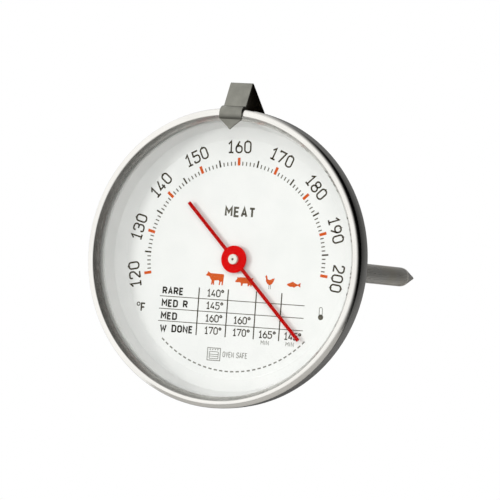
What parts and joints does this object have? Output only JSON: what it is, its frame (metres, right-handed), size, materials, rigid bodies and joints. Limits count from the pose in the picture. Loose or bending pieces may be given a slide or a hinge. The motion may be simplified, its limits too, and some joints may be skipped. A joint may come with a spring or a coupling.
{
  "type": "dial meat thermometer",
  "caption": "Round dial meat thermometer: glazed steel head, pointed probe stem square to the back, red pointer and a bent strip marker that slides round the rim.",
  "frame": {"origin": "on the stem axis, at the rear face of the collar where the stem leaves the case", "axes": "+Y along the stem towards the point, so the dial faces -Y; +Z towards the middle (160) mark of the scale; +X to the right seen from the front"},
  "size_m": [0.0762, 0.1263, 0.0831],
  "materials": {
    "polished_steel": "polished stainless steel",
    "stem_steel": "drawn stainless steel, satin",
    "spring_steel": "rolled stainless spring strip",
    "glass": "clear, polished",
    "dial_white": "white enamel with dark and orange print",
    "pointer_red": "red lacquer",
    "bush_metal": "bright turned",
    "silicone": "pale silicone",
    "bronze": "sintered bronze",
    "bimetal": "rolled bimetal strip"
  },
  "bodies": {
    "case": {"case_back": "polished_steel", "bezel": "polished_steel", "lens": "glass", "lens_gasket": "silicone", "dial_plate": "dial_white", "stem_tube": "stem_steel", "stem_tip": "stem_steel", "stem_collar": "stem_steel", "stem_lock_ring": "stem_steel", "upper_bearing": "bronze", "guide_bush_upper": "bronze", "guide_bush_lower": "bronze", "coil_anchor": "stem_steel", "bimetal_coil": "bimetal"},
    "indicator": {"coil_collar": "stem_steel", "spindle": "stem_steel", "pointer_bush": "bush_metal", "pointer": "pointer_red"},
    "marker": {"marker_clip": "spring_steel"}
  },
  "joints": [
    {"name": "pointer_turn", "type": "hinge", "parent": "case", "child": "indicator", "pos_m": [0, 0, 0], "axis": [0, 1, 0], "range_deg": [-94, 322], "stiffness_Nm_per_rad": 0.0018, "deforming": ["bimetal_coil"]},
    {"name": "marker_slide", "type": "hinge", "parent": "case", "child": "marker", "pos_m": [0, 0, 0], "axis": [0, 1, 0], "continuous": true}
  ]
}
